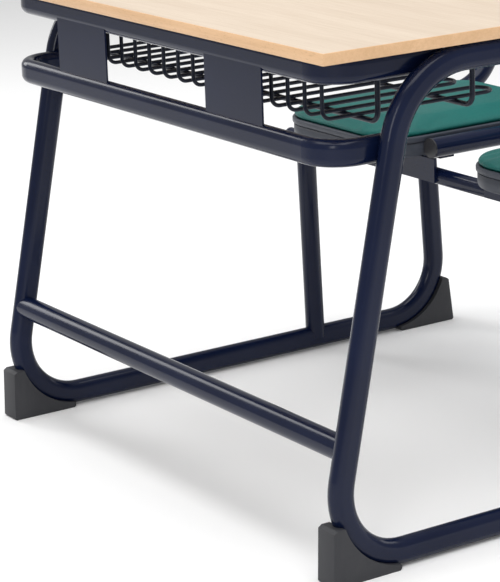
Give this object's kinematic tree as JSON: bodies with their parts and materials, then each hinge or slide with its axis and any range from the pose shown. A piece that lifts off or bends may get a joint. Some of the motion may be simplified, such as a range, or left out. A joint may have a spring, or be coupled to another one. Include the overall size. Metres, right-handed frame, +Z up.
{
  "type": "two-seat school desk with attached seats",
  "caption": "School desk with attached padded seats on a bent oval tube frame, with a front hoop, a stretcher, a wire book shelf and moulded corner feet.",
  "frame": {"origin": "on the floor, under the middle of the whole unit", "axes": "+X along the desk, +Y from the front panel side to the pupils' backs, +Z up"},
  "size_m": [1.046, 1.0811, 0.8067],
  "materials": {
    "laminate": "satin laminate",
    "beech_edge": "satin",
    "navy_paint": "gloss powder coat",
    "shelf_paint": "satin powder coat",
    "zinc_steel": "bright",
    "black_plastic": "matt",
    "foot_plastic": "fine grain",
    "grey_plastic": "fine grain",
    "teal_vinyl": "smooth vinyl"
  },
  "bodies": {
    "root": {"table_top": "laminate", "table_edge_band": "beech_edge", "top_hoop": "navy_paint", "top_rail_rear": "navy_paint", "top_lugs": "navy_paint", "top_screws": "zinc_steel", "front_hoop": "navy_paint", "front_panel_left": "navy_paint", "front_panel_right": "navy_paint", "side_frame_left": "navy_paint", "side_frame_right": "navy_paint", "frame_end_plugs": "black_plastic", "stretcher": "navy_paint", "strut_left": "navy_paint", "strut_right": "navy_paint", "seat_beam_front": "navy_paint", "seat_beam_rear": "navy_paint", "beam_end_caps": "black_plastic", "saddle_brackets": "navy_paint", "seat_front_plates": "navy_paint", "seat_rail_left_outer": "navy_paint", "seat_rail_left_inner": "navy_paint", "seat_rail_right_inner": "navy_paint", "seat_rail_right_outer": "navy_paint", "rail_front_plugs": "black_plastic", "post_top_plugs": "black_plastic", "seat_straps": "navy_paint", "seat_screws": "zinc_steel", "seat_pan_left": "grey_plastic", "seat_pan_right": "grey_plastic", "seat_pad_left": "teal_vinyl", "seat_pad_right": "teal_vinyl", "back_shell_left": "grey_plastic", "back_shell_right": "grey_plastic", "back_pad_left": "teal_vinyl", "back_pad_right": "teal_vinyl", "back_bolts": "zinc_steel", "front_foot_left": "foot_plastic", "front_foot_right": "foot_plastic", "rear_foot_left": "foot_plastic", "rear_foot_right": "foot_plastic", "shelf_rod_top": "shelf_paint", "shelf_rod_front": "shelf_paint", "shelf_rod_rear": "shelf_paint", "shelf_hairpin_1": "shelf_paint", "shelf_hairpin_2": "shelf_paint", "shelf_hairpin_3": "shelf_paint", "shelf_hairpin_4": "shelf_paint", "shelf_hairpin_5": "shelf_paint", "shelf_hairpin_6": "shelf_paint", "shelf_hairpin_7": "shelf_paint", "shelf_hairpin_8": "shelf_paint", "shelf_hairpin_9": "shelf_paint"}
  },
  "joints": []
}
